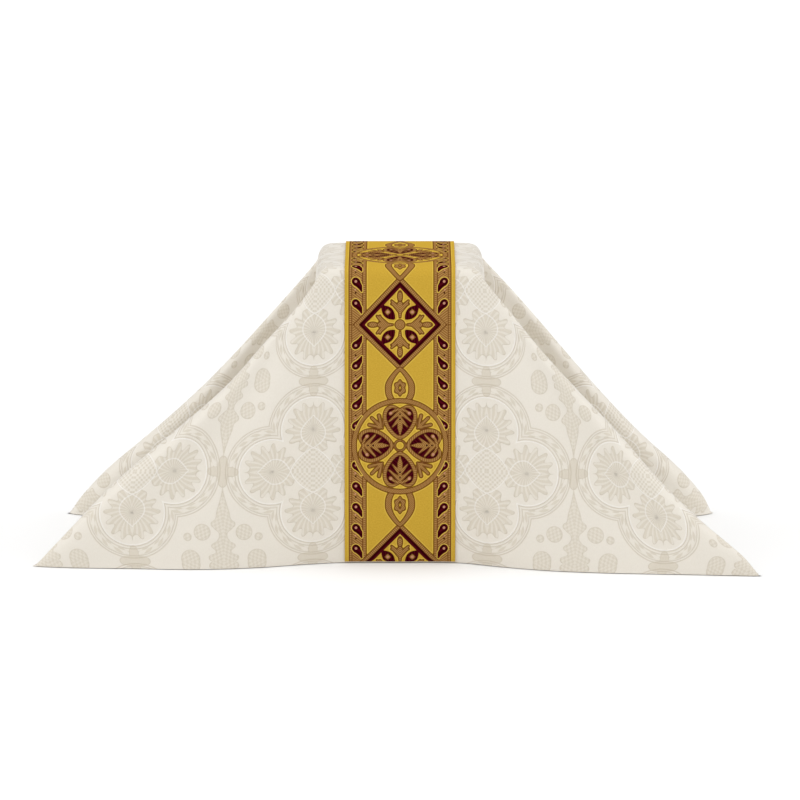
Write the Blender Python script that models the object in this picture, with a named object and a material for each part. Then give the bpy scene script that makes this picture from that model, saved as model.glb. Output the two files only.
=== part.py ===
"""A chalice veil as it stands when draped: a square of lined damask over a square pall, with one woven band
sewn down its middle from the front hem over the top to the back hem.

The cloth is worked out on a grid of its own flat square. Over the pall it lies flat. In front, behind and at
the sides it falls straight from the pall's edge to its hem. Past the pall's corners it fans out from the
corner, and its fold along the diagonal makes an ear that ends in the veil's corner. Each hem point's place on
the surface stands in the tables below. Metres, +Z up, the front faces -Y, and the hem stands on Z = 0.
"""

import bpy
import numpy as np

VEIL_SIDE = 0.610
BAND_WIDTH = 0.092
PALL_SIDE = 0.140
TOP_HEIGHT = 0.239
FORWARD = 0.008  # how far the veil's centre lies in front of the pall's centre
CLOTH_THICKNESS = 0.0012
BAND_THICKNESS = 0.0010
BAND_GAP = 0.00035  # between the cloth and the band's underside
BAND_END_LIFT = 0.0010  # the band's ends stay this far above the surface

HALF = VEIL_SIDE / 2
PALL = PALL_SIDE / 2
BAND = BAND_WIDTH / 2
FRONT = HALF + FORWARD  # from the pall's centre to the front hem, along the cloth
BACK = HALF - FORWARD

# Cells of the working grid, across each stretch of the flat cloth
EAR_CELLS = 80
EDGE_CELLS = 8
BAND_CELLS = 32
SOFTEN_ROUNDS = 24
SOFTEN_SHARE = 0.5
HEM_STIFF = 0.10  # above the hem, over this share of the drop, the cloth is softened less and less
FLAT_MARGIN = 0.010  # the pall keeps the cloth flat up to this far inside its edge

# The solid keeps these lines of the working grid, counted from the hem, and each is this many cells
EAR_STEP = 5
FOLD_LINES = (78, 82)  # two more lines, either side of the pall's edge at 80
BAND_STEP = 8

# Where each side's hem stands: along is measured on the flat cloth from the middle line, or on the left and
# right from the pall's centre. x and y are its place on the surface, and swell is how far the cloth over it
# stands out at half height.
FRONT_HEM = (
    # along, x, y, swell
    (-0.305, -0.3045, -0.1324, 0.000),
    (-0.281, -0.2813, -0.1362, 0.002),
    (-0.223, -0.2232, -0.1405, 0.006),
    (-0.165, -0.1651, -0.1438, 0.010),
    (-0.115, -0.1150, -0.1365, 0.012),
    (-0.083, -0.0827, -0.1267, 0.012),
    (-0.050, -0.0498, -0.1190, 0.012),
    (0.000, 0.0000, -0.1184, 0.012),
    (0.050, 0.0498, -0.1200, 0.012),
    (0.083, 0.0825, -0.1345, 0.012),
    (0.116, 0.1150, -0.1465, 0.012),
    (0.165, 0.1636, -0.1565, 0.010),
    (0.230, 0.2275, -0.1625, 0.006),
    (0.281, 0.2750, -0.1670, 0.002),
    (0.305, 0.2980, -0.1700, 0.000),
)
BACK_HEM = (
    (-0.305, -0.2865, 0.0765, 0.000),
    (-0.292, -0.2740, 0.0860, 0.000),
    (-0.230, -0.2170, 0.1060, 0.000),
    (-0.160, -0.1510, 0.1120, 0.000),
    (-0.110, -0.1040, 0.1060, 0.004),
    (-0.060, -0.0580, 0.0960, 0.006),
    (0.000, 0.0000, 0.0930, 0.006),
    (0.060, 0.0570, 0.0960, 0.006),
    (0.110, 0.1010, 0.1080, 0.004),
    (0.160, 0.1450, 0.1160, 0.000),
    (0.230, 0.2050, 0.1070, 0.000),
    (0.292, 0.2590, 0.0870, 0.000),
    (0.305, 0.2696, 0.0765, 0.000),
)
LEFT_HEM = (
    # along, x, y
    (-0.313, -0.3045, -0.1324),
    (-0.300, -0.2920, -0.1220),
    (-0.240, -0.2340, -0.1010),
    (-0.160, -0.1560, -0.0860),
    (-0.100, -0.0990, -0.0830),
    (-0.069, -0.0760, -0.0740),
    (0.000, -0.0840, -0.0020),
    (0.069, -0.0760, 0.0600),
    (0.110, -0.1130, 0.0480),
    (0.170, -0.1680, 0.0440),
    (0.240, -0.2360, 0.0570),
    (0.285, -0.2760, 0.0710),
    (0.297, -0.2865, 0.0765),
)
RIGHT_HEM = (
    (-0.313, 0.2980, -0.1700),
    (-0.300, 0.2860, -0.1590),
    (-0.240, 0.2310, -0.1250),
    (-0.160, 0.1550, -0.0990),
    (-0.100, 0.0980, -0.0900),
    (-0.069, 0.0760, -0.0760),
    (0.000, 0.0860, -0.0040),
    (0.069, 0.0760, 0.0600),
    (0.110, 0.1120, 0.0470),
    (0.170, 0.1640, 0.0420),
    (0.240, 0.2240, 0.0560),
    (0.285, 0.2610, 0.0700),
    (0.297, 0.2696, 0.0765),
)

# How far each ear's ridge stands beyond the straight line from the pall's corner to the tip
RIDGES = (
    # share of the drop, front left, front right, back left, back right
    (0.00, -0.002, -0.001, -0.005, -0.003),
    (0.10, -0.009, -0.002, -0.006, 0.001),
    (0.25, -0.010, -0.008, -0.007, 0.002),
    (0.40, -0.013, -0.008, -0.008, 0.001),
    (0.55, -0.004, -0.006, -0.006, 0.001),
    (0.70, 0.006, -0.008, 0.001, 0.004),
    (0.85, 0.007, -0.001, 0.010, 0.012),
    (0.93, 0.006, 0.007, 0.009, 0.011),
    (1.00, 0.000, 0.000, 0.000, 0.000),
)
# An ear's two layers draw together in a trough and part again in a roll beside its ridge
ROLL = (
    # share of the way from the panel to the ridge, share of the roll's depth, loft
    (0.00, 0.0, 0.0000),
    (0.35, -0.4, 0.0012),
    (0.60, -1.0, 0.0012),
    (0.75, -0.2, 0.0012),
    (0.88, 1.0, 0.0012),
    (0.96, 0.8, 0.0008),
    (1.00, 0.0, 0.0000),
)
ROLL_DEPTH = 0.006
CORNER_ROUND = 0.075  # the share of the pall's half width by which its back corners are drawn in
CORNER_POWER = 6
TIP_MITRE = 2.2  # the cloth is this many times as thick along the fold at its tips
FRONT_CORNER_SHARE = 0.35

CREAM = (0.86, 0.80, 0.69, 1.0)
GOLD = (0.60, 0.40, 0.09, 1.0)


def along_rows(table, at):
    """The table's columns at the given places, on smooth curves through its rows."""
    rows = np.array(table)
    place, value = rows[:, 0], rows[:, 1:]
    slope = np.gradient(value, place, axis=0)
    low = np.clip(np.searchsorted(place, at, side="right") - 1, 0, len(place) - 2)
    width = (place[low + 1] - place[low])[..., None]
    share = np.clip((at - place[low])[..., None] / width, 0, 1)
    square, cube = share**2, share**3
    return (
        (2 * cube - 3 * square + 1) * value[low]
        + (cube - 2 * square + share) * width * slope[low]
        + (3 * square - 2 * cube) * value[low + 1]
        + (cube - square) * width * slope[low + 1]
    )


def grid_lines(low, high):
    """The working grid's lines across the flat cloth, from one hem to the other."""
    ear = np.linspace(0, 1, EAR_CELLS + 1)
    edge = np.linspace(BAND, PALL, EDGE_CELLS + 1)[1:]
    band = np.linspace(-BAND, BAND, BAND_CELLS + 1)
    return np.concatenate(
        [low + (-PALL - low) * ear[:-1], -edge[::-1], band, edge, (PALL + (high - PALL) * ear)[1:]]
    )


def shape_ears(points, u, v, drop, ear, faces_side):
    """Moves each ear's ridge in or out and gives its layers their trough, roll and loft."""
    ridge = along_rows(RIDGES, drop)
    roll = along_rows(ROLL, ear)
    stand = roll[..., 0] * ROLL_DEPTH * np.sin(np.pi * drop) ** 0.7 + roll[..., 1]
    corners = (
        (-1, -1, FRONT_HEM[0]),
        (1, -1, FRONT_HEM[-1]),
        (-1, 1, BACK_HEM[0]),
        (1, 1, BACK_HEM[-1]),
    )
    for column, (right, back, tip) in enumerate(corners):
        here = (u * right > 0) & (v * back > 0) & (ear > 0)
        outward = np.array([tip[1] - right * PALL, tip[2] - back * PALL])
        outward /= np.linalg.norm(outward)
        across = np.array([0.0, 1.0]) - outward * outward[1]
        across /= np.linalg.norm(across)
        layer = back * np.where(faces_side, -1, 1)
        ridge_share = np.where(here, ear**2, 0)[..., None]
        points[..., :2] += ridge_share * ridge[..., column : column + 1] * outward
        points[..., :2] += np.where(here, stand * layer, 0)[..., None] * across


def soften(points, drop, on_pall):
    """Rounds the folds: each point moves part of the way to its neighbours' middle. Tips and top stay."""
    share = SOFTEN_SHARE * np.clip((1 - drop) / HEM_STIFF, 0.02, 1)
    share[on_pall] = 0
    for end in (0, -1):
        share[end, 0] = share[end, -1] = 0
    share = share[..., None]
    for _ in range(SOFTEN_ROUNDS):
        middle = points.copy()
        middle[1:-1, 1:-1] = (points[2:, 1:-1] + points[:-2, 1:-1] + points[1:-1, 2:] + points[1:-1, :-2]) / 4
        for end in (0, -1):
            middle[1:-1, end] = (points[2:, end] + points[:-2, end]) / 2
            middle[end, 1:-1] = (points[end, 2:] + points[end, :-2]) / 2
        points = points + share * (middle - points)
    return points


def drape():
    """The cloth's outer face as a grid of points, with the flat cloth's lines it was worked out on."""
    lines_u = grid_lines(-HALF, HALF)
    lines_v = grid_lines(-FRONT, BACK)
    u, v = np.meshgrid(lines_u, lines_v, indexing="ij")
    past_side = np.maximum(np.abs(u) - PALL, 0) / (HALF - PALL)
    past_end = np.maximum(np.abs(v) - PALL, 0) / (np.where(v < 0, FRONT, BACK) - PALL)
    drop = np.maximum(past_side, past_end)
    over = np.where(drop > 0, drop, 1)
    faces_side = past_side > past_end

    # Each point lies between the pall's edge and the hem point straight across the flat cloth from it
    edge_u = np.clip(u, -PALL, PALL)
    edge_v = np.clip(v, -PALL, PALL)
    hem_u = np.clip(edge_u + (u - edge_u) / over, -HALF, HALF)
    hem_v = np.clip(edge_v + (v - edge_v) / over, -FRONT, BACK)
    ends = np.where((v < 0)[..., None], along_rows(FRONT_HEM, hem_u), along_rows(BACK_HEM, hem_u))
    sides = np.where((u < 0)[..., None], along_rows(LEFT_HEM, hem_v), along_rows(RIGHT_HEM, hem_v))
    hem = np.where(faces_side[..., None], sides, ends[..., :2])

    rounding = CORNER_ROUND * (np.abs(edge_u * edge_v) / PALL**2) ** CORNER_POWER
    rounding *= np.where(v < 0, FRONT_CORNER_SHARE, 1)
    edge = np.stack([edge_u, edge_v], -1) * (1 - rounding)[..., None]
    points = np.empty(u.shape + (3,))
    points[..., :2] = edge + (hem - edge) * drop[..., None]
    points[..., 2] = TOP_HEIGHT * (1 - drop)
    swell = np.where(faces_side, 0, 4 * drop * (1 - drop) * ends[..., 2])
    points[..., 1] += np.where(v < 0, -swell, swell)

    ear = np.minimum(past_side, past_end) / over
    shape_ears(points, u, v, drop, ear, faces_side)
    on_pall = np.maximum(np.abs(u), np.abs(v)) < PALL - FLAT_MARGIN
    return soften(points, drop, on_pall), lines_u


def outward_normals(points):
    """Unit normals of the outer face, level along the hem, and longer at the tips, which fold sharply."""
    normals = np.cross(np.gradient(points, axis=0), np.gradient(points, axis=1))
    for end in (0, -1):
        normals[end, :, 2] = 0
        normals[:, end, 2] = 0
    normals /= np.maximum(np.linalg.norm(normals, axis=2, keepdims=True), 1e-12)
    for i, j in ((0, 0), (0, -1), (-1, 0), (-1, -1)):
        step_i, step_j = (1 if i == 0 else -2), (1 if j == 0 else -2)
        outward = 2 * points[i, j] - points[step_i, j] - points[i, step_j]
        outward[2] = 0
        normals[i, j] = TIP_MITRE * outward / np.linalg.norm(outward)
    return normals


def kept_lines():
    """The working grid's lines that the solid keeps, the same both ways."""
    ear = list(range(0, EAR_CELLS + 1, EAR_STEP)) + list(FOLD_LINES)
    band_start = EAR_CELLS + EDGE_CELLS
    band = range(band_start, band_start + BAND_CELLS + 1, BAND_STEP)
    last = 2 * band_start + BAND_CELLS
    return sorted(set(ear) | set(band) | {last - line for line in ear})


def sheet_object(name, outer, inner, colour, roughness):
    """A closed sheet between two grids of points, its triangles split along the ears' ridges."""
    rows, columns = outer.shape[:2]
    index = np.arange(rows * columns).reshape(rows, columns)
    under = rows * columns
    faces = []
    for i in range(rows - 1):
        for j in range(columns - 1):
            a, b, c, d = index[i, j], index[i + 1, j], index[i + 1, j + 1], index[i, j + 1]
            rising = (2 * i < rows - 1) == (2 * j < columns - 1)
            for one, two, three in ((a, b, c), (a, c, d)) if rising else ((a, b, d), (b, c, d)):
                faces.append((one, two, three))
                faces.append((three + under, two + under, one + under))
    rim = list(index[:, 0]) + list(index[-1, 1:]) + list(index[-2::-1, -1]) + list(index[0, -2:0:-1])
    for one, two in zip(rim, rim[1:] + rim[:1]):
        faces.append((two, one, one + under))
        faces.append((two, one + under, two + under))
    corners = np.concatenate([outer.reshape(-1, 3), inner.reshape(-1, 3)])
    mesh = bpy.data.meshes.new(name)
    mesh.from_pydata(corners.tolist(), [], [tuple(int(corner) for corner in face) for face in faces])
    mesh.validate()
    mesh.shade_smooth()
    mesh.set_sharp_from_angle(angle=np.radians(50))
    material = bpy.data.materials.new(name)
    material.use_nodes = True
    shader = material.node_tree.nodes["Principled BSDF"]
    shader.inputs["Base Color"].default_value = colour
    shader.inputs["Roughness"].default_value = roughness
    shader.inputs["Metallic"].default_value = 0.0
    mesh.materials.append(material)
    made = bpy.data.objects.new(name, mesh)
    bpy.context.scene.collection.objects.link(made)
    return made


def band_face(points, normals, height):
    """The band's grid at a height over the cloth, its two end rows drawn up from the hem."""
    cloth = points.copy()
    for end, inner in ((0, 1), (-1, -2)):
        rise = cloth[:, inner, 2:] - cloth[:, end, 2:]
        cloth[:, end] += (cloth[:, inner] - cloth[:, end]) * BAND_END_LIFT / rise
    return cloth + normals * height


def main():
    """Builds the cloth and its band, with the middle of the cloth's outline over the origin."""
    for old in list(bpy.data.objects):
        bpy.data.objects.remove(old, do_unlink=True)
    points, lines_u = drape()
    normals = outward_normals(points)
    kept = kept_lines()
    outer = points[np.ix_(kept, kept)]
    plan = outer[..., :2].reshape(-1, 2)
    outer[..., :2] -= (plan.min(axis=0) + plan.max(axis=0)) / 2
    facing = normals[np.ix_(kept, kept)]
    sheet_object("veil_cloth", outer, outer - facing * CLOTH_THICKNESS, CREAM, 0.55)

    under_band = np.abs(lines_u[kept]) <= BAND + 1e-6
    strip, facing = outer[under_band], facing[under_band]
    top = band_face(strip, facing, BAND_GAP + BAND_THICKNESS)
    bottom = band_face(strip, facing, BAND_GAP)
    sheet_object("orphrey_band", top, bottom, GOLD, 0.45)


main()
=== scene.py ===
"""The looks of a draped chalice veil: cream damask with round leafy figures, a cream lining, and a woven
band in gold, tan and burgundy down its middle.

The cloth is worked out on a grid of its own flat square, as the CAD solid is, and shown on all of the grid's
lines. Metres, +Z up, the front faces -Y. The woven patterns are drawn in millimetres of flat cloth.
"""

import bpy
import numpy as np
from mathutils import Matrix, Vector


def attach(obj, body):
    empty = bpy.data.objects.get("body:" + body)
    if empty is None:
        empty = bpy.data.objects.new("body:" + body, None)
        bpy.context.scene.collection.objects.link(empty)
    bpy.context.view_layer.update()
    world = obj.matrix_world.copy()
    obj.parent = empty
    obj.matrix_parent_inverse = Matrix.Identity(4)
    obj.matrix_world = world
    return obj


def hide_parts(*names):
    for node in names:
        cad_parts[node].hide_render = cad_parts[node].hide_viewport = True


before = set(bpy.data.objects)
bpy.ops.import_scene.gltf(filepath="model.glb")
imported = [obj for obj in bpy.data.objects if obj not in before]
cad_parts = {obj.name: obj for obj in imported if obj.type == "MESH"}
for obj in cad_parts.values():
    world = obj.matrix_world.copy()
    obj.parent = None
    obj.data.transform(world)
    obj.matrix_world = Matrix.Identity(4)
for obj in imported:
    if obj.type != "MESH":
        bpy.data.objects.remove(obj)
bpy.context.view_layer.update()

# The cloth as it was cut, and where it lies
VEIL_SIDE = 0.610
BAND_WIDTH = 0.092
PALL_SIDE = 0.140
TOP_HEIGHT = 0.239
FORWARD = 0.008  # how far the veil's centre lies in front of the pall's centre
CLOTH_THICKNESS = 0.0012
BAND_THICKNESS = 0.0010
BAND_GAP = 0.00035  # between the cloth and the band's underside
BAND_END_LIFT = 0.0010  # the band's ends stay this far above the floor
PALL_AT = np.array([0.00325, 0.02638])  # the pall's centre in the frame

HALF = VEIL_SIDE / 2
PALL = PALL_SIDE / 2
BAND = BAND_WIDTH / 2
FRONT = HALF + FORWARD  # from the pall's centre to the front hem, along the cloth
BACK = HALF - FORWARD

# Cells of the grid, across each stretch of the flat cloth
EAR_CELLS = 80
EDGE_CELLS = 8
BAND_CELLS = 32
SOFTEN_ROUNDS = 24
SOFTEN_SHARE = 0.5
HEM_STIFF = 0.10  # above the hem, over this share of the drop, the cloth is softened less and less
FLAT_MARGIN = 0.010  # the pall keeps the cloth flat up to this far inside its edge

# Cells of the woven band's own grid, fine enough for its pattern
BAND_ACROSS = 112
BAND_ALONG = 744
UNDER_STEP = 4  # the band's underside keeps one line in this many

# Where each side's hem stands: along is measured on the flat cloth from the middle line, or on the left and
# right from the pall's centre. x and y are its place on the floor, and swell is how far the cloth over it
# stands out at half height.
FRONT_HEM = (
    # along, x, y, swell
    (-0.305, -0.3045, -0.1324, 0.000),
    (-0.281, -0.2813, -0.1362, 0.002),
    (-0.223, -0.2232, -0.1405, 0.006),
    (-0.165, -0.1651, -0.1438, 0.010),
    (-0.115, -0.1150, -0.1365, 0.012),
    (-0.083, -0.0827, -0.1267, 0.012),
    (-0.050, -0.0498, -0.1190, 0.012),
    (0.000, 0.0000, -0.1184, 0.012),
    (0.050, 0.0498, -0.1200, 0.012),
    (0.083, 0.0825, -0.1345, 0.012),
    (0.116, 0.1150, -0.1465, 0.012),
    (0.165, 0.1636, -0.1565, 0.010),
    (0.230, 0.2275, -0.1625, 0.006),
    (0.281, 0.2750, -0.1670, 0.002),
    (0.305, 0.2980, -0.1700, 0.000),
)
BACK_HEM = (
    (-0.305, -0.2865, 0.0765, 0.000),
    (-0.292, -0.2740, 0.0860, 0.000),
    (-0.230, -0.2170, 0.1060, 0.000),
    (-0.160, -0.1510, 0.1120, 0.000),
    (-0.110, -0.1040, 0.1060, 0.004),
    (-0.060, -0.0580, 0.0960, 0.006),
    (0.000, 0.0000, 0.0930, 0.006),
    (0.060, 0.0570, 0.0960, 0.006),
    (0.110, 0.1010, 0.1080, 0.004),
    (0.160, 0.1450, 0.1160, 0.000),
    (0.230, 0.2050, 0.1070, 0.000),
    (0.292, 0.2590, 0.0870, 0.000),
    (0.305, 0.2696, 0.0765, 0.000),
)
LEFT_HEM = (
    # along, x, y
    (-0.313, -0.3045, -0.1324),
    (-0.300, -0.2920, -0.1220),
    (-0.240, -0.2340, -0.1010),
    (-0.160, -0.1560, -0.0860),
    (-0.100, -0.0990, -0.0830),
    (-0.069, -0.0760, -0.0740),
    (0.000, -0.0840, -0.0020),
    (0.069, -0.0760, 0.0600),
    (0.110, -0.1130, 0.0480),
    (0.170, -0.1680, 0.0440),
    (0.240, -0.2360, 0.0570),
    (0.285, -0.2760, 0.0710),
    (0.297, -0.2865, 0.0765),
)
RIGHT_HEM = (
    (-0.313, 0.2980, -0.1700),
    (-0.300, 0.2860, -0.1590),
    (-0.240, 0.2310, -0.1250),
    (-0.160, 0.1550, -0.0990),
    (-0.100, 0.0980, -0.0900),
    (-0.069, 0.0760, -0.0760),
    (0.000, 0.0860, -0.0040),
    (0.069, 0.0760, 0.0600),
    (0.110, 0.1120, 0.0470),
    (0.170, 0.1640, 0.0420),
    (0.240, 0.2240, 0.0560),
    (0.285, 0.2610, 0.0700),
    (0.297, 0.2696, 0.0765),
)

# How far each ear's ridge stands beyond the straight line from the pall's corner to the tip
RIDGES = (
    # share of the drop, front left, front right, back left, back right
    (0.00, -0.002, -0.001, -0.005, -0.003),
    (0.10, -0.009, -0.002, -0.006, 0.001),
    (0.25, -0.010, -0.008, -0.007, 0.002),
    (0.40, -0.013, -0.008, -0.008, 0.001),
    (0.55, -0.004, -0.006, -0.006, 0.001),
    (0.70, 0.006, -0.008, 0.001, 0.004),
    (0.85, 0.007, -0.001, 0.010, 0.012),
    (0.93, 0.006, 0.007, 0.009, 0.011),
    (1.00, 0.000, 0.000, 0.000, 0.000),
)
# An ear's two layers draw together in a trough and part again in a roll beside its ridge
ROLL = (
    # share of the way from the panel to the ridge, share of the roll's depth, loft
    (0.00, 0.0, 0.0000),
    (0.35, -0.4, 0.0012),
    (0.60, -1.0, 0.0012),
    (0.75, -0.2, 0.0012),
    (0.88, 1.0, 0.0012),
    (0.96, 0.8, 0.0008),
    (1.00, 0.0, 0.0000),
)
ROLL_DEPTH = 0.006
CORNER_ROUND = 0.075  # the share of the pall's half width by which its back corners are drawn in
CORNER_POWER = 6
TIP_MITRE = 2.2  # the cloth is this many times as thick along the fold at its tips
FRONT_CORNER_SHARE = 0.35

# Where the woven patterns' centres fall on the flat cloth
BAND_REPEAT = (
    # along the flat cloth, along the band's pattern
    (-0.3184, -0.3075),
    (-0.2140, -0.2050),
    (-0.1152, -0.1025),
    (-0.0098, 0.0000),
    (0.0925, 0.1025),
    (0.1950, 0.2050),
    (0.2970, 0.3075),
)
DAMASK_ACROSS = 0.0727  # half the damask's repeat across the cloth, and a figure's centre stands this far out
DAMASK_ALONG = 0.0732  # half its repeat along the cloth
DAMASK_CENTRE = -0.2337  # along the flat cloth, the middle of the front figures


def along_rows(table, at):
    """The table's columns at the given places, on smooth curves through its rows."""
    rows = np.array(table)
    place, value = rows[:, 0], rows[:, 1:]
    slope = np.gradient(value, place, axis=0)
    low = np.clip(np.searchsorted(place, at, side="right") - 1, 0, len(place) - 2)
    width = (place[low + 1] - place[low])[..., None]
    share = np.clip((at - place[low])[..., None] / width, 0, 1)
    square, cube = share**2, share**3
    return (
        (2 * cube - 3 * square + 1) * value[low]
        + (cube - 2 * square + share) * width * slope[low]
        + (3 * square - 2 * cube) * value[low + 1]
        + (cube - square) * width * slope[low + 1]
    )


def grid_lines(low, high):
    """The grid's lines across the flat cloth, from one hem to the other."""
    ear = np.linspace(0, 1, EAR_CELLS + 1)
    edge = np.linspace(BAND, PALL, EDGE_CELLS + 1)[1:]
    band = np.linspace(-BAND, BAND, BAND_CELLS + 1)
    return np.concatenate(
        [low + (-PALL - low) * ear[:-1], -edge[::-1], band, edge, (PALL + (high - PALL) * ear)[1:]]
    )


def shape_ears(points, u, v, drop, ear, faces_side):
    """Moves each ear's ridge in or out and gives its layers their trough, roll and loft."""
    ridge = along_rows(RIDGES, drop)
    roll = along_rows(ROLL, ear)
    stand = roll[..., 0] * ROLL_DEPTH * np.sin(np.pi * drop) ** 0.7 + roll[..., 1]
    corners = (
        (-1, -1, FRONT_HEM[0]),
        (1, -1, FRONT_HEM[-1]),
        (-1, 1, BACK_HEM[0]),
        (1, 1, BACK_HEM[-1]),
    )
    for column, (right, back, tip) in enumerate(corners):
        here = (u * right > 0) & (v * back > 0) & (ear > 0)
        outward = np.array([tip[1] - right * PALL, tip[2] - back * PALL])
        outward /= np.linalg.norm(outward)
        across = np.array([0.0, 1.0]) - outward * outward[1]
        across /= np.linalg.norm(across)
        layer = back * np.where(faces_side, -1, 1)
        ridge_share = np.where(here, ear**2, 0)[..., None]
        points[..., :2] += ridge_share * ridge[..., column : column + 1] * outward
        points[..., :2] += np.where(here, stand * layer, 0)[..., None] * across


def soften(points, drop, on_pall):
    """Rounds the folds: each point moves part of the way to its neighbours' middle. Tips and top stay."""
    share = SOFTEN_SHARE * np.clip((1 - drop) / HEM_STIFF, 0.02, 1)
    share[on_pall] = 0
    for end in (0, -1):
        share[end, 0] = share[end, -1] = 0
    share = share[..., None]
    for _ in range(SOFTEN_ROUNDS):
        middle = points.copy()
        middle[1:-1, 1:-1] = (points[2:, 1:-1] + points[:-2, 1:-1] + points[1:-1, 2:] + points[1:-1, :-2]) / 4
        for end in (0, -1):
            middle[1:-1, end] = (points[2:, end] + points[:-2, end]) / 2
            middle[end, 1:-1] = (points[end, 2:] + points[end, :-2]) / 2
        points = points + share * (middle - points)
    return points


def drape():
    """The cloth's outer face as a grid of points about the pall's centre, and its lines on the flat cloth."""
    lines_u = grid_lines(-HALF, HALF)
    lines_v = grid_lines(-FRONT, BACK)
    u, v = np.meshgrid(lines_u, lines_v, indexing="ij")
    past_side = np.maximum(np.abs(u) - PALL, 0) / (HALF - PALL)
    past_end = np.maximum(np.abs(v) - PALL, 0) / (np.where(v < 0, FRONT, BACK) - PALL)
    drop = np.maximum(past_side, past_end)
    over = np.where(drop > 0, drop, 1)
    faces_side = past_side > past_end

    # Each point lies between the pall's edge and the hem point straight across the flat cloth from it
    edge_u = np.clip(u, -PALL, PALL)
    edge_v = np.clip(v, -PALL, PALL)
    hem_u = np.clip(edge_u + (u - edge_u) / over, -HALF, HALF)
    hem_v = np.clip(edge_v + (v - edge_v) / over, -FRONT, BACK)
    ends = np.where((v < 0)[..., None], along_rows(FRONT_HEM, hem_u), along_rows(BACK_HEM, hem_u))
    sides = np.where((u < 0)[..., None], along_rows(LEFT_HEM, hem_v), along_rows(RIGHT_HEM, hem_v))
    hem = np.where(faces_side[..., None], sides, ends[..., :2])

    rounding = CORNER_ROUND * (np.abs(edge_u * edge_v) / PALL**2) ** CORNER_POWER
    rounding *= np.where(v < 0, FRONT_CORNER_SHARE, 1)
    edge = np.stack([edge_u, edge_v], -1) * (1 - rounding)[..., None]
    points = np.empty(u.shape + (3,))
    points[..., :2] = edge + (hem - edge) * drop[..., None]
    points[..., 2] = TOP_HEIGHT * (1 - drop)
    swell = np.where(faces_side, 0, 4 * drop * (1 - drop) * ends[..., 2])
    points[..., 1] += np.where(v < 0, -swell, swell)

    ear = np.minimum(past_side, past_end) / over
    shape_ears(points, u, v, drop, ear, faces_side)
    on_pall = np.maximum(np.abs(u), np.abs(v)) < PALL - FLAT_MARGIN
    return soften(points, drop, on_pall), lines_u, lines_v


def outward_normals(points):
    """Unit normals of the outer face, level along the hem, and longer at the tips, which fold sharply."""
    normals = np.cross(np.gradient(points, axis=0), np.gradient(points, axis=1))
    for end in (0, -1):
        normals[end, :, 2] = 0
        normals[:, end, 2] = 0
    normals /= np.maximum(np.linalg.norm(normals, axis=2, keepdims=True), 1e-12)
    for i, j in ((0, 0), (0, -1), (-1, 0), (-1, -1)):
        step_i, step_j = (1 if i == 0 else -2), (1 if j == 0 else -2)
        outward = 2 * points[i, j] - points[step_i, j] - points[i, step_j]
        outward[2] = 0
        normals[i, j] = TIP_MITRE * outward / np.linalg.norm(outward)
    return normals


def resampled(grid, lines, at, axis):
    """The grid read at other places along one of its axes, on smooth curves through its points."""
    moved = np.moveaxis(grid, axis, 0)
    table = np.concatenate([lines[:, None], moved.reshape(len(lines), -1)], axis=1)
    read = along_rows(table, at).reshape((len(at),) + moved.shape[1:])
    return np.moveaxis(read, 0, axis)


# The band's pattern, in millimetres. Each shape is a field that is positive inside it and gives about the
# distance to its edge. across is measured from the band's middle, from_diamond and from_roundel along it.
MM = 1000
HALF_REPEAT = 102.5
FIELD_EDGE = 28.1  # the gold field's edge, from the middle
STRIP_EDGE = 31.1  # between the inner strip and the leafy border
BORDER_EDGE = 40.1  # between the leafy border and the outer strip
SELVEDGE = 42.4
STRAND_HALF = 1.7
DIAMOND_GOLD = 20.65  # the gold diamond, from its middle to its side
DIAMOND_RED = 24.04  # the burgundy frame's outer side
RING_MIDDLE = 38.2
RING_HALF = 2.0
DROP_STEP = 17.2
DROPS = 5
RED_PITCH = 2.3

LOOP = (
    # from the roundel's middle, the strand's middle, half its thickness
    (37.0, 6.2, 2.2),
    (40.0, 7.6, 2.4),
    (44.0, 9.2, 2.5),
    (48.0, 9.7, 2.5),
    (52.0, 9.4, 2.5),
    (56.0, 7.9, 2.2),
    (60.0, 5.4, 1.9),
    (64.0, 2.1, 1.7),
    (66.1, 0.0, 1.7),
)
HEART = (
    # degrees from the outward direction, radius about the petal's middle
    (0, 9.7),
    (12, 11.3),
    (28, 14.2),
    (45, 15.4),
    (62, 15.2),
    (80, 14.4),
    (100, 13.6),
    (125, 13.4),
    (150, 14.4),
    (168, 16.0),
    (180, 17.0),
)
HEART_MIDDLE = 22.0
HEART_RIM = 3.2
LEAF = (
    # out from the roundel's middle and aside, at the start and the end, with the half width at each
    (31.0, 0.0, 1.4, 22.0, 0.0, 1.8),
    (22.0, 0.0, 2.0, 15.0, 0.0, 2.3),
    (15.0, 0.0, 2.3, 8.4, 0.0, 0.3),
    (22.0, 1.0, 1.8, 15.8, 6.3, 0.7),
    (27.5, 1.2, 1.9, 20.6, 9.0, 0.9),
    (31.0, 1.4, 1.2, 29.3, 5.0, 1.2),
    (29.3, 5.0, 1.2, 27.0, 7.9, 1.7),
)
PALMETTE = (
    (5.8, 0.0, 0.8, 10.5, 0.0, 1.5),
    (10.5, 0.0, 1.5, 16.5, 0.0, 2.3),
    (11.5, 0.8, 1.6, 15.8, 4.2, 1.8),
    (15.8, 4.2, 1.9, 19.2, 7.0, 0.8),
    (16.0, 5.0, 1.2, 16.6, 7.3, 0.7),
)
SPRIG = (
    (20.5, 0.0, 0.9, 26.0, 0.0, 1.4),
    (26.0, 0.0, 1.5, 33.2, 0.0, 1.3),
    (22.5, 0.8, 1.0, 30.4, 5.6, 1.5),
    (21.5, 1.2, 0.7, 25.6, 6.2, 0.8),
)
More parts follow.
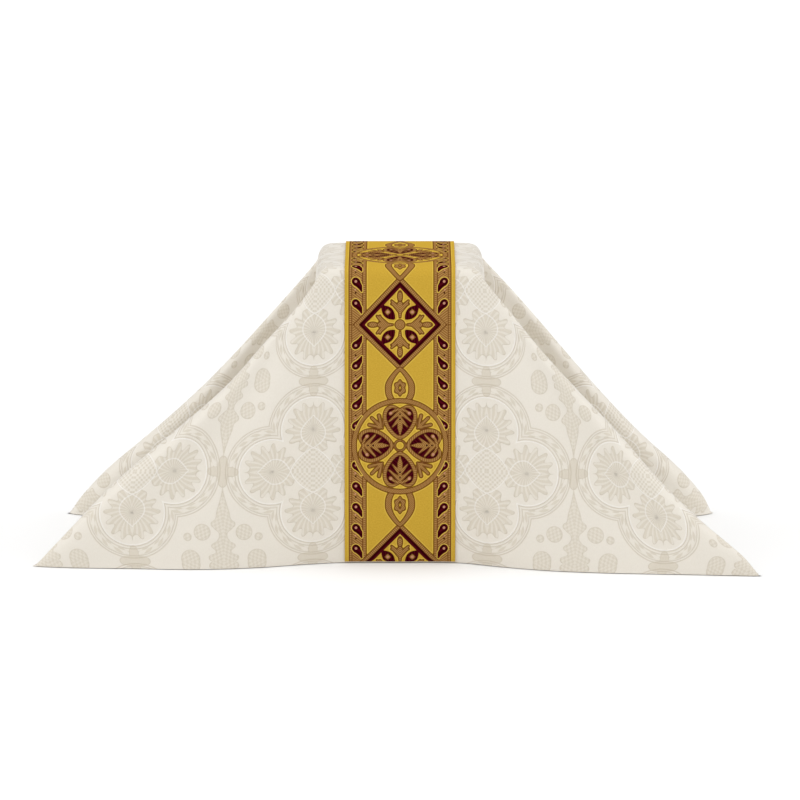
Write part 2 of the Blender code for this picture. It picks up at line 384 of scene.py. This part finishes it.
DROP = (
    # across from the band's middle and on from the drop's own middle, as the strokes above
    (36.9, 0.1, 3.0, 36.2, -0.6, 3.1),
    (36.2, -0.6, 2.9, 33.4, -4.0, 1.9),
    (33.4, -4.0, 1.9, 31.9, -7.8, 0.5),
)


def disc(x, y, at_x, at_y, radius):
    return radius - np.hypot(x - at_x, y - at_y)


def stroke(x, y, start, end, start_radius, end_radius):
    """A stroke from start to end whose half width changes evenly along it."""
    way_x, way_y = end[0] - start[0], end[1] - start[1]
    share = ((x - start[0]) * way_x + (y - start[1]) * way_y) / (way_x**2 + way_y**2)
    share = np.clip(share, 0, 1)
    radius = start_radius + (end_radius - start_radius) * share
    return radius - np.hypot(x - start[0] - share * way_x, y - start[1] - share * way_y)


def strokes(x, y, table):
    """All the strokes of a table."""
    return joined(*(stroke(x, y, row[0:2], row[3:5], row[2], row[5]) for row in table))


def lobed(x, y, table):
    """A shape about its middle from its radius in each direction, the same on both sides of its axis x."""
    degrees = np.degrees(np.arctan2(np.abs(y), x))
    return along_rows(table, degrees)[..., 0] - np.hypot(x, y)


def joined(*shapes):
    return np.maximum.reduce(shapes)


def paint(layers, shape, colour):
    """Lays the shape in a colour over all that is there. Gold is what is left where no layer is."""
    for name in layers:
        np.minimum(layers[name], -shape, out=layers[name])
    if colour in layers:
        np.maximum(layers[colour], shape, out=layers[colour])


def dress(fields, shape, grain):
    """Sets the direction of the threads inside the shape."""
    fields["grain"] = np.where(shape > 0, grain, fields["grain"])


def paint_border(layers, fields, across, from_diamond):
    """Two plain strips with a row of burgundy drops on leafy tan between them."""
    strips = np.minimum(across - FIELD_EDGE, SELVEDGE - across)
    layers["tan"][:] = strips
    layers["border"][:] = strips
    leafy = np.minimum(across - STRIP_EDGE, BORDER_EDGE - across)
    dress(fields, strips, 0.75 * from_diamond)
    dress(fields, leafy, 0.40 * across - 0.55 * from_diamond)
    for count in range(1, DROPS + 1):
        head = DROP_STEP * count
        drop = strokes(across, from_diamond - head, DROP)
        np.maximum(layers["drop"], drop, out=layers["drop"])
        np.maximum(layers["burgundy"], drop, out=layers["burgundy"])
        np.minimum(layers["tan"], -drop, out=layers["tan"])
        light = disc(across, from_diamond, 36.7, head, 1.15)
        np.maximum(layers["light"], light, out=layers["light"])
        for place_across, after, radius, layer in ((36.8, 8.2, 0.8, "dark"), (37.2, 10.6, 0.8, "light")):
            dot = disc(across, from_diamond, place_across, head + after, radius)
            np.maximum(layers[layer], dot, out=layers[layer])


def paint_diamond(layers, fields, across, from_diamond):
    """A square on its corner in a burgundy frame between tan strands, with four palmettes and four ovals."""
    side = (across + from_diamond) / 2**0.5
    slant = (across - from_diamond) / 2**0.5
    frame_outer = DIAMOND_RED + 2 * STRAND_HALF
    paint(layers, frame_outer - side, "tan")
    dress(fields, frame_outer - side, 0.75 * slant)
    paint(layers, DIAMOND_RED - side, "burgundy")
    dress(fields, DIAMOND_RED - side, (side - DIAMOND_GOLD) * RED_PITCH / (DIAMOND_RED - DIAMOND_GOLD))
    paint(layers, DIAMOND_GOLD - side, "gold")

    oval = 4.4 * np.sin(np.pi * np.clip((side - 6.0) / 15.6, 0.001, 0.999)) ** 0.75 - np.abs(slant)
    oval = np.minimum(oval, np.minimum(side - 6.0, DIAMOND_GOLD + 0.6 - side))
    paint(layers, oval, "burgundy")
    dress(fields, oval, across)
    square = 2.1 - np.maximum(np.abs(side - 14.4), np.abs(slant))
    paint(layers, square, "tan")
    np.maximum(layers["light"], disc(side, slant, 14.4, 0, 1.1), out=layers["light"])

    for out, aside in ((from_diamond, across), (across, from_diamond)):
        bud = (1 - np.hypot((out - 22.6) / 4.2, aside / 2.2)) * 2.2
        palmette = joined(bud, strokes(out, aside, PALMETTE))
        paint(layers, palmette, "tan")
        dress(fields, palmette, 0.7 * (out - 0.9 * aside))
    paint(layers, disc(across, from_diamond, 0, 0, 5.5), "gold")
    paint(layers, disc(across, from_diamond, 0, 0, 4.1), "tan")
    dress(fields, disc(across, from_diamond, 0, 0, 4.1), np.hypot(across, from_diamond))


def paint_loop(layers, fields, across, from_roundel):
    """The strands from the diamond cross and part round a small floret before they join the ring."""
    way = along_rows(LOOP, np.clip(from_roundel, LOOP[0][0], LOOP[-1][0]))
    lean = along_rows(LOOP, np.clip(from_roundel + 0.5, LOOP[0][0], LOOP[-1][0]))[..., 0] - way[..., 0]
    strand = way[..., 1] - np.abs(across - way[..., 0]) / np.hypot(1, 2 * lean)
    strand = np.minimum(strand, np.minimum(from_roundel - LOOP[0][0], LOOP[-1][0] - from_roundel + 1))
    paint(layers, strand, "tan")
    dress(fields, strand, 0.75 * (from_roundel - across))
    aside, out = across, (from_roundel - 49.3) / 1.38
    around = np.arctan2(aside, out)
    floret = 4.6 + 0.55 * np.cos(6 * around) - np.hypot(aside, out)
    paint(layers, floret, "tan")
    dress(fields, floret, 0.75 * (out - aside))
    paint(layers, (1 - np.hypot(aside / 1.0, out / 1.7)) * 1.0, "gold")


def paint_roundel(layers, fields, across, from_roundel):
    """A ring round four heart-shaped petals, each with a leaf, and four sprigs between them."""
    radius = np.hypot(across, from_roundel)
    paint(layers, RING_MIDDLE - radius, "gold")
    ring = RING_HALF - np.abs(radius - RING_MIDDLE)
    paint(layers, ring, "tan")
    around = np.arctan2(across, from_roundel)
    dress(fields, ring, 0.75 * (RING_MIDDLE * around + radius))
    out, aside = (across + from_roundel) / 2**0.5, (across - from_roundel) / 2**0.5
    sprig = strokes(out, np.abs(aside), SPRIG)
    paint(layers, sprig, "tan")
    dress(fields, sprig, 0.8 * (out - np.abs(aside)))
    for out, aside in ((from_roundel, across), (across, from_roundel)):
        heart = lobed(out - HEART_MIDDLE, aside, HEART)
        paint(layers, heart, "tan")
        dress(fields, heart, 0.75 * out)
        paint(layers, heart - HEART_RIM, "burgundy")
        dress(fields, heart - HEART_RIM, 0.71 * (out + aside))
        leaf = np.minimum(strokes(out, aside, LEAF), heart - 0.3)
        paint(layers, leaf, "tan")
        dress(fields, leaf, 0.62 * (out + aside))
        vein = joined(disc(out, aside, 22.3, 0, 0.9), disc(out, aside, 26.6, 0, 0.8))
        np.maximum(layers["dark"], vein, out=layers["dark"])
        np.maximum(layers["light"], disc(out, aside, 27.6, 7.6, 1.2), out=layers["light"])
    paint(layers, disc(across, from_roundel, 0, 0, 5.1), "tan")
    paint(layers, disc(across, from_roundel, 0, 0, 3.5), "gold")


def band_pattern(x, along):
    """The band's fields at each point: how far inside each colour it is, and its threads' direction."""
    across = np.abs(x)
    from_roundel = np.abs((along + HALF_REPEAT) % (2 * HALF_REPEAT) - HALF_REPEAT)
    from_diamond = HALF_REPEAT - from_roundel
    layers = {name: np.full(x.shape, -9.0) for name in ("tan", "burgundy", "dark", "light", "border", "drop")}
    fields = {"grain": np.zeros(x.shape)}
    paint_border(layers, fields, across, from_diamond)
    paint_diamond(layers, fields, across, from_diamond)
    paint_loop(layers, fields, across, from_roundel)
    paint_roundel(layers, fields, across, from_roundel)
    return {**layers, **fields}


class Field:
    """A number that a material works out at each point of a surface."""

    def __init__(self, tree, socket):
        self.tree = tree
        self.socket = socket

    def maths(self, operation, *others):
        node = self.tree.nodes.new("ShaderNodeMath")
        node.operation = operation
        for socket, value in zip(node.inputs, (self, *others)):
            if isinstance(value, Field):
                self.tree.links.new(value.socket, socket)
            else:
                socket.default_value = value
        return Field(self.tree, node.outputs[0])

    def __add__(self, other):
        return self.maths("ADD", other)

    def __radd__(self, other):
        return self.maths("ADD", other)

    def __sub__(self, other):
        return self.maths("SUBTRACT", other)

    def __rsub__(self, other):
        return self.maths("MULTIPLY_ADD", -1.0, other)

    def __mul__(self, other):
        return self.maths("MULTIPLY", other)

    def __rmul__(self, other):
        return self.maths("MULTIPLY", other)

    def __abs__(self):
        return self.maths("ABSOLUTE")

    def times_add(self, factor, added):
        return self.maths("MULTIPLY_ADD", factor, added)

    def least(self, other):
        return self.maths("MINIMUM", other)

    def most(self, other):
        return self.maths("MAXIMUM", other)

    def sine(self):
        return self.maths("SINE")

    def angle_to(self, other):
        """The angle of the point (other, self)."""
        return self.maths("ARCTAN2", other)

    def length_with(self, other):
        return (self * self + other * other).maths("SQRT")

    def folded(self, size):
        """Goes up to size and back down, again and again."""
        return self.maths("PINGPONG", size)

    def above(self, level, softness):
        """1 where the number is above the level, 0 below it, with a soft step between."""
        node = self.tree.nodes.new("ShaderNodeMapRange")
        node.interpolation_type = "SMOOTHSTEP"
        self.tree.links.new(self.socket, node.inputs["Value"])
        node.inputs["From Min"].default_value = level - softness
        node.inputs["From Max"].default_value = level + softness
        return Field(self.tree, node.outputs[0])

    def near(self, level, half, softness):
        """1 within half of the level and 0 elsewhere."""
        return 1.0 - abs(self - level).above(half, softness)

    def read(self, table, across, high):
        """The table's value at this number over across, as a share of high."""
        node = self.tree.nodes.new("ShaderNodeFloatCurve")
        curve = node.mapping.curves[0]
        curve.points[0].location = (table[0][0] / across, table[0][1] / high)
        curve.points[1].location = (table[-1][0] / across, table[-1][1] / high)
        for place, value in table[1:-1]:
            curve.points.new(place / across, value / high)
        node.mapping.update()
        self.tree.links.new((self * (1 / across)).socket, node.inputs["Value"])
        return Field(self.tree, node.outputs[0]) * high


def srgb(red, green, blue):
    """A colour given as it looks on a screen, 0 to 255, as a shader takes it."""
    share = np.array([red, green, blue]) / 255
    linear = np.where(share <= 0.04045, share / 12.92, ((share + 0.055) / 1.055) ** 2.4)
    return (*linear.tolist(), 1.0)


def new_material(name, colour, roughness):
    material = bpy.data.materials.new(name)
    material.use_nodes = True
    shader = material.node_tree.nodes["Principled BSDF"]
    shader.inputs["Base Color"].default_value = colour
    shader.inputs["Roughness"].default_value = roughness
    return material, material.node_tree, shader


def attribute(tree, name):
    node = tree.nodes.new("ShaderNodeAttribute")
    node.attribute_name = name
    return node


def flat_fields(tree):
    """The point's place on the flat cloth, in millimetres: across and along."""
    split = tree.nodes.new("ShaderNodeSeparateXYZ")
    tree.links.new(attribute(tree, "flat").outputs["Vector"], split.inputs[0])
    return Field(tree, split.outputs["X"]), Field(tree, split.outputs["Y"])


def noise(tree, scale, detail, stretch=(1, 1, 1)):
    """Soft random shading on the flat cloth, from 0 to 1, with this many bumps a millimetre."""
    mapping = tree.nodes.new("ShaderNodeMapping")
    mapping.inputs["Scale"].default_value = stretch
    tree.links.new(attribute(tree, "flat").outputs["Vector"], mapping.inputs["Vector"])
    node = tree.nodes.new("ShaderNodeTexNoise")
    node.inputs["Scale"].default_value = scale
    node.inputs["Detail"].default_value = detail
    tree.links.new(mapping.outputs[0], node.inputs["Vector"])
    return Field(tree, node.outputs[0])


def blended(tree, share, under, over):
    """The colour over laid on the colour under by a share. Either is a socket or a plain colour."""
    node = tree.nodes.new("ShaderNodeMix")
    node.data_type = "RGBA"
    tree.links.new(share.socket, node.inputs["Factor"])
    for socket, colour in zip([s for s in node.inputs if s.type == "RGBA"], (under, over)):
        if isinstance(colour, tuple):
            socket.default_value = colour
        else:
            tree.links.new(colour, socket)
    return next(s for s in node.outputs if s.type == "RGBA")


def raise_surface(tree, shader, height, millimetres):
    """Gives the shader a relief of this height."""
    bump = tree.nodes.new("ShaderNodeBump")
    bump.inputs["Distance"].default_value = millimetres / MM
    tree.links.new(height.socket, bump.inputs["Height"])
    tree.links.new(bump.outputs[0], shader.inputs["Normal"])


GOLD = srgb(210, 172, 66)
GOLD_DEEP = srgb(176, 138, 40)
# The brighter gold of the painted highlights round the band's shapes
GOLD_PAINTED_HIGHLIGHT = srgb(228, 194, 84)
TAN = srgb(184, 140, 82)
TAN_DEEP = srgb(116, 74, 28)
BROWN = srgb(92, 46, 14)
BURGUNDY = srgb(84, 14, 26)
BURGUNDY_DEEP = srgb(44, 0, 6)
PINK = srgb(196, 140, 114)
TWILL_PITCH = 1.5
HATCH_PITCH = 1.15
SOFT = 0.16  # how far a woven edge spreads, in millimetres
TURN = 2 * np.pi


def woven_material():
    """The band: gold twill with tan, brown and burgundy threads after the pattern's fields."""
    material, tree, shader = new_material("orphrey", GOLD, 0.5)
    read = {
        name: Field(tree, attribute(tree, name).outputs["Fac"])
        for name in ("tan", "burgundy", "dark", "light", "border", "drop", "grain")
    }
    x, y = flat_fields(tree)
    twill = ((x + y) * (TURN / TWILL_PITCH)).sine()
    cross = ((x - y) * (TURN / (1.3 * TWILL_PITCH))).sine()
    threads = (twill * cross).times_add(0.5, 0.5)
    speckle = noise(tree, 0.9, 2.0)
    ground = threads * 0.45 + speckle * 0.9 - 0.35
    colour = blended(tree, ground, GOLD, GOLD_DEEP)
    # A painted highlight: a line of brighter gold just outside each tan shape
    painted_highlight_rim = read["tan"].near(-0.95, 0.3, SOFT) * 0.55
    colour = blended(tree, painted_highlight_rim, colour, GOLD_PAINTED_HIGHLIGHT)
    hatch = (read["grain"] * (TURN / HATCH_PITCH)).sine().times_add(0.5, 0.5)
    tan = blended(tree, hatch * 0.8 + speckle * 0.2, TAN, TAN_DEEP)
    colour = blended(tree, read["tan"].above(0, SOFT), colour, tan)
    outline = read["tan"].near(0.0, 0.42, SOFT) * 0.85
    colour = blended(tree, outline, colour, BROWN)
    lines = abs(x).near(STRIP_EDGE, 0.35, SOFT).most(abs(x).near(BORDER_EDGE, 0.3, SOFT))
    lines = lines * read["border"].above(0, SOFT) * 0.85
    colour = blended(tree, lines, colour, BROWN)
    stripes = (read["grain"] * (TURN / RED_PITCH)).sine().times_add(0.5, 0.5)
    red = blended(tree, stripes * 0.8, BURGUNDY_DEEP, BURGUNDY)
    colour = blended(tree, read["burgundy"].above(0, SOFT), colour, red)
    # A painted highlight: a line of brighter gold round each burgundy drop
    painted_highlight_halo = read["drop"].near(-0.6, 0.3, SOFT) * 0.9
    colour = blended(tree, painted_highlight_halo, colour, GOLD_PAINTED_HIGHLIGHT)
    colour = blended(tree, read["dark"].above(0, SOFT), colour, BURGUNDY_DEEP)
    colour = blended(tree, read["light"].above(0, SOFT) * 0.9, colour, PINK)
    tree.links.new(colour, shader.inputs["Base Color"])
    shader.inputs["Specular IOR Level"].default_value = 0.0
    relief = threads * 0.35 + read["tan"].above(0, 0.5) * 0.5 + speckle * 0.4
    raise_surface(tree, shader, relief, 0.25)
    return material


POMEGRANATE = (
    # degrees from the outward direction, radius about its middle
    (0, 15.0),
    (14, 12.4),
    (41, 10.6),
    (73, 10.4),
    (107, 10.0),
    (143, 9.8),
    (165, 10.4),
    (180, 11.5),
)
FLOWER_LEAVES = (
    (0, 22.5),
    (10, 18.0),
    (22, 23.0),
    (32, 17.5),
    (44, 23.5),
    (56, 17.0),
    (68, 22.5),
    (80, 16.5),
    (92, 23.0),
    (104, 16.5),
    (118, 22.0),
    (130, 15.0),
    (146, 20.0),
    (180, 14.0),
)
PLANT = (
    # from the middle towards the figures above and below, half width
    (0, 9.0),
    (4, 12.0),
    (8, 6.0),
    (13, 9.5),
    (17, 5.0),
    (22, 3.0),
    (27, 7.0),
    (31, 9.5),
    (35, 6.0),
    (40, 5.0),
    (48, 2.6),
    (56, 0.6),
    (60, 0.0),
)
LOBE_OUT = 33.5  # a figure's four lobes stand this far from its middle
LOBE_EDGE = 27.4
RING_INNER = 29.6
RING_OUTER = 35.2
LOBE_RIM = 37.0
EYE = 18.5
EYE_POWER = 1.35
CLOTH_TONE = srgb(232, 226, 215)
FIGURE_TONE = srgb(212, 203, 186)
LINE_TONE = srgb(190, 176, 154)
LIGHT_TONE = srgb(246, 242, 236)


def damask_fields(tree):
    """The damask's figure, its dark outlines and its light threads, each from 0 to 1."""
    flat_x, flat_y = flat_fields(tree)
    size = DAMASK_ACROSS * MM
    x = (flat_x + size).folded(size)
    y = (flat_y - DAMASK_CENTRE * MM).folded(DAMASK_ALONG * MM) * (DAMASK_ACROSS / DAMASK_ALONG)
    out, aside = x.most(y), x.least(y)

    # Four round lobes about each figure's middle
    lobe_x = out - LOBE_OUT
    lobe_radius = lobe_x.length_with(aside)
    lobe_angle = aside.angle_to(lobe_x)
    eye = EYE - (x.maths("POWER", EYE_POWER) + y.maths("POWER", EYE_POWER)).maths("POWER", 1 / EYE_POWER)
    off_eye = 1.0 - eye.above(0, 0.3)
    leafy = ((lobe_angle * 17 + lobe_radius * 0.9).sine() * (lobe_radius * 1.1).sine()).above(0.1, 0.3)
    ring = lobe_radius.near((RING_INNER + RING_OUTER) / 2, (RING_OUTER - RING_INNER) / 2 - 0.5, 0.3)
    outlines = lobe_radius.near(LOBE_RIM, 0.45, 0.25).most(lobe_radius.near(RING_OUTER, 0.35, 0.25))
    for radius in (LOBE_EDGE, RING_INNER):
        outlines = outlines.most(lobe_radius.near(radius, 0.4, 0.25))

    # A pomegranate among leaves in each lobe
    degrees = 180 / np.pi
    leaves = (lobe_angle * degrees).read(FLOWER_LEAVES, 180, 30) - lobe_radius
    fruit_x = lobe_x + 3.5
    fruit_angle = aside.angle_to(fruit_x) * degrees
    fruit = fruit_angle.read(POMEGRANATE, 180, 30) - fruit_x.length_with(aside)
    veins = (lobe_angle * 24 + lobe_radius * 0.5).sine().above(0.2, 0.4)
    seeds = ((out * 1.6).sine() * (aside * 1.6).sine()).above(0.1, 0.3)

    # A star where two figures meet
    star_x = size - out
    star_angle = aside.angle_to(star_x)
    star = (star_angle * 4 + np.pi / 2).sine().times_add(3.4, 9.0) - star_x.length_with(aside)

    # A plant with flowers between four figures
    plant_x, plant_y = size - x, size - y
    plant = plant_y.read(PLANT, 60, 30) - plant_x
    bell = 6.4 - (plant_x - 16.7).length_with(plant_y - 24.0)
    bloom = 7.4 - (plant_x - 27.0).length_with(plant_y - 2.0)
    leaf = 3.0 - (plant_x - 28.5).length_with(plant_y - 20.0)
    sprays = plant.most(bell).most(bloom).most(leaf)
    petals = ((plant_x * 1.5 + plant_y * 0.9).sine() * (plant_y * 1.2 - plant_x * 0.5).sine()).above(0.0, 0.4)

    in_lobe = 1.0 - lobe_radius.above(LOBE_EDGE, 0.3)
    figure = (leaves.above(0, 0.3) * in_lobe * off_eye * (1.0 - veins * 0.7)).most(ring * leafy * off_eye)
    figure = figure.most(star.above(0, 0.3) * 0.9).most(sprays.above(0, 0.3) * (1.0 - petals * 0.6))
    figure = figure.most(eye.above(0.6, 0.3) * seeds)
    dark = (outlines * off_eye).most(leaves.near(0, 0.4, 0.3) * in_lobe * off_eye * 0.8)
    dark = dark.most(star.near(0, 0.4, 0.3) * 0.8).most(sprays.near(0, 0.4, 0.3) * 0.7)
    light = eye.near(0, 0.5, 0.3).most(fruit.near(0, 0.5, 0.3) * off_eye)
    light = light.most(lobe_radius.near(LOBE_EDGE - 1.1, 0.5, 0.3) * off_eye)
    return figure, dark, light


def damask_material():
    """Cream damask: satin ground with matt figures, their outlines a little darker and lighter."""
    material, tree, shader = new_material("damask", CLOTH_TONE, 0.5)
    figure, dark, light = damask_fields(tree)
    speckle = noise(tree, 0.8, 2.0, (1, 0.6, 1))
    colour = blended(tree, figure * 0.7 + speckle * 0.35, CLOTH_TONE, FIGURE_TONE)
    colour = blended(tree, dark * 0.5, colour, LINE_TONE)
    colour = blended(tree, light * 0.6, colour, LIGHT_TONE)
    tree.links.new(colour, shader.inputs["Base Color"])
    tree.links.new((figure * 0.12 + 0.46).socket, shader.inputs["Roughness"])
    shader.inputs["Sheen Weight"].default_value = 0.3
    shader.inputs["Sheen Roughness"].default_value = 0.4
    relief = figure * 0.5 - dark * 0.5 + light * 0.6 + speckle * 0.5
    raise_surface(tree, shader, relief, 0.3)
    return material


def lining_material():
    material, tree, shader = new_material("lining", srgb(236, 226, 208), 0.6)
    raise_surface(tree, shader, noise(tree, 1.2, 2.0), 0.1)
    return material


def closed_sheet(name, outer, inner, kept, materials, flat):
    """A sheet between two grids of points. kept lists the rows and the columns that its inner grid keeps."""
    rows, columns = outer.shape[:2]
    kept_rows, kept_columns = kept
    inner = inner[np.ix_(kept_rows, kept_columns)]
    index = np.arange(rows * columns).reshape(rows, columns)
    under = rows * columns + np.arange(inner.shape[0] * inner.shape[1]).reshape(inner.shape[:2])
    over_faces = np.stack([index[:-1, :-1], index[1:, :-1], index[1:, 1:], index[:-1, 1:]], -1)
    under_faces = np.stack([under[:-1, :-1], under[:-1, 1:], under[1:, 1:], under[1:, :-1]], -1)
    faces = over_faces.reshape(-1, 4).tolist() + under_faces.reshape(-1, 4).tolist()
    outer_count = (rows - 1) * (columns - 1)
    for fine, coarse, corners in (
        (index[:, 0], under[:, 0], kept_rows),
        (index[-1, :], under[-1, :], kept_columns),
        (index[::-1, -1], under[::-1, -1], [rows - 1 - k for k in kept_rows[::-1]]),
        (index[0, ::-1], under[0, ::-1], [columns - 1 - k for k in kept_columns[::-1]]),
    ):
        for low, high, one, two in zip(corners[:-1], corners[1:], coarse[:-1], coarse[1:]):
            faces.append([int(two), *fine[low : high + 1][::-1].tolist(), int(one)])
    mesh = bpy.data.meshes.new(name)
    mesh.from_pydata(np.concatenate([outer.reshape(-1, 3), inner.reshape(-1, 3)]).tolist(), [], faces)
    for material in materials:
        mesh.materials.append(material)
    slots = np.full(len(faces), len(materials) - 1, np.int32)
    slots[:outer_count] = 0
    mesh.polygons.foreach_set("material_index", slots)
    mesh.shade_smooth()
    mesh.set_sharp_from_angle(angle=np.radians(50))
    places = np.concatenate([flat.reshape(-1, 3), flat[np.ix_(kept_rows, kept_columns)].reshape(-1, 3)])
    flat_places = mesh.attributes.new("flat", "FLOAT_VECTOR", "POINT")
    flat_places.data.foreach_set("vector", places.astype(np.float32).ravel())
    made = bpy.data.objects.new(name, mesh)
    bpy.context.scene.collection.objects.link(made)
    return made


def kept_lines(count, step):
    return sorted({*range(0, count, step), count - 1})


def make_cloth(points, normals, lines_u, lines_v):
    u, v = np.meshgrid(lines_u, lines_v, indexing="ij")
    flat = np.stack([u * MM, v * MM, 0 * u], -1)
    every_row, every_column = kept_lines(len(lines_u), 1), kept_lines(len(lines_v), 1)
    materials = [damask_material(), lining_material()]
    inner = points - normals * CLOTH_THICKNESS
    return closed_sheet("veil_damask", points, inner, (every_row, every_column), materials, flat)


def make_band(points, normals, lines_u, lines_v):
    """The band on the cloth, its ends drawn up from the hem, with the fields of its pattern."""
    under_band = np.abs(lines_u) <= BAND + 1e-6
    cloth, facing = points[under_band].copy(), normals[under_band]
    for end, inner in ((0, 1), (-1, -2)):
        rise = cloth[:, inner, 2:] - cloth[:, end, 2:]
        cloth[:, end] += (cloth[:, inner] - cloth[:, end]) * BAND_END_LIFT / rise
    places_u = np.linspace(-BAND, BAND, BAND_ACROSS + 1)
    places_v = np.linspace(lines_v[0], lines_v[-1], BAND_ALONG + 1)
    grids = []
    for grid in (cloth, facing):
        grid = resampled(grid, lines_u[under_band], places_u, 0)
        grids.append(resampled(grid, lines_v, places_v, 1))
    cloth, facing = grids
    u, v = np.meshgrid(places_u, places_v, indexing="ij")
    along = along_rows(BAND_REPEAT, v)[..., 0]
    flat = np.stack([u * MM, along * MM, 0 * u], -1)
    kept = (kept_lines(BAND_ACROSS + 1, UNDER_STEP), kept_lines(BAND_ALONG + 1, UNDER_STEP))
    top = cloth + facing * (BAND_GAP + BAND_THICKNESS)
    bottom = cloth + facing * BAND_GAP
    band = closed_sheet("orphrey_woven", top, bottom, kept, [woven_material()], flat)
    for name, values in band_pattern(u * MM, along * MM).items():
        full = np.full(len(band.data.vertices), -9.0, np.float32)
        full[: values.size] = values.ravel()
        band.data.attributes.new(name, "FLOAT", "POINT").data.foreach_set("value", full)
    return band


# The camera stands in front, a little above the cloth
CAMERA_AWAY = 5.3553
CAMERA_UP = np.radians(11.036)
LOOKS_AT = 0.12125  # height of the point that it is turned about
FOCAL_PIXELS = 6335.2
IMAGE_PIXELS = 800
SENSOR = 36.0
AIM_LOWER = np.radians(0.0746)


def make_camera():
    data = bpy.data.cameras.new("camera")
    data.sensor_width = SENSOR
    data.lens = FOCAL_PIXELS * SENSOR / IMAGE_PIXELS
    data.clip_start, data.clip_end = 0.1, 100
    camera = bpy.data.objects.new("camera", data)
    bpy.context.scene.collection.objects.link(camera)
    back = Vector((0, -np.cos(CAMERA_UP), np.sin(CAMERA_UP)))
    centre = Vector((*PALL_AT, LOOKS_AT))
    camera.location = centre + back * CAMERA_AWAY
    camera.rotation_euler = (np.pi / 2 - CAMERA_UP - AIM_LOWER, 0, 0)
    bpy.context.scene.camera = camera


ROOM_LIGHT = 0.45
LAMPS = (
    # name, where it stands from the cloth, how wide it looks in degrees, power
    ("left", (-1.6, -0.2, 1.0), 60, 1.1),
    ("right", (1.6, -0.2, 1.0), 60, 1.1),
    ("front", (0.0, -1.5, 1.0), 60, 0.35),
    ("top", (0.0, 0.2, 1.0), 80, 0.8),
)


def make_studio():
    """A pale floor, a white room and soft lamps on both sides, in front and above."""
    scene = bpy.context.scene
    bpy.ops.mesh.primitive_plane_add(size=40, location=(0, 0, -0.0006))
    floor = bpy.context.object
    floor.name = "floor"
    material, _, shader = new_material("floor", (0.95, 0.95, 0.95, 1), 0.9)
    shader.inputs["Specular IOR Level"].default_value = 0.0
    floor.data.materials.append(material)
    world = bpy.data.worlds.new("room")
    scene.world = world
    world.use_nodes = True
    background = world.node_tree.nodes["Background"]
    background.inputs["Color"].default_value = (1, 1, 1, 1)
    background.inputs["Strength"].default_value = ROOM_LIGHT
    for name, toward, spread, power in LAMPS:
        data = bpy.data.lights.new(name, "SUN")
        data.angle = np.radians(spread)
        data.energy = power
        lamp = bpy.data.objects.new(name, data)
        lamp.rotation_euler = (-Vector(toward)).to_track_quat("-Z", "Y").to_euler()
        scene.collection.objects.link(lamp)
    scene.view_settings.view_transform = "Standard"


def main():
    points, lines_u, lines_v = drape()
    points[..., :2] += PALL_AT
    normals = outward_normals(points)
    cloth = make_cloth(points, normals, lines_u, lines_v)
    band = make_band(points, normals, lines_u, lines_v)
    for piece, node, slot in ((cloth, "veil_cloth", "damask"), (band, "orphrey_band", "orphrey")):
        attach(piece, "root")
        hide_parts(node)
    make_camera()
    make_studio()


main()
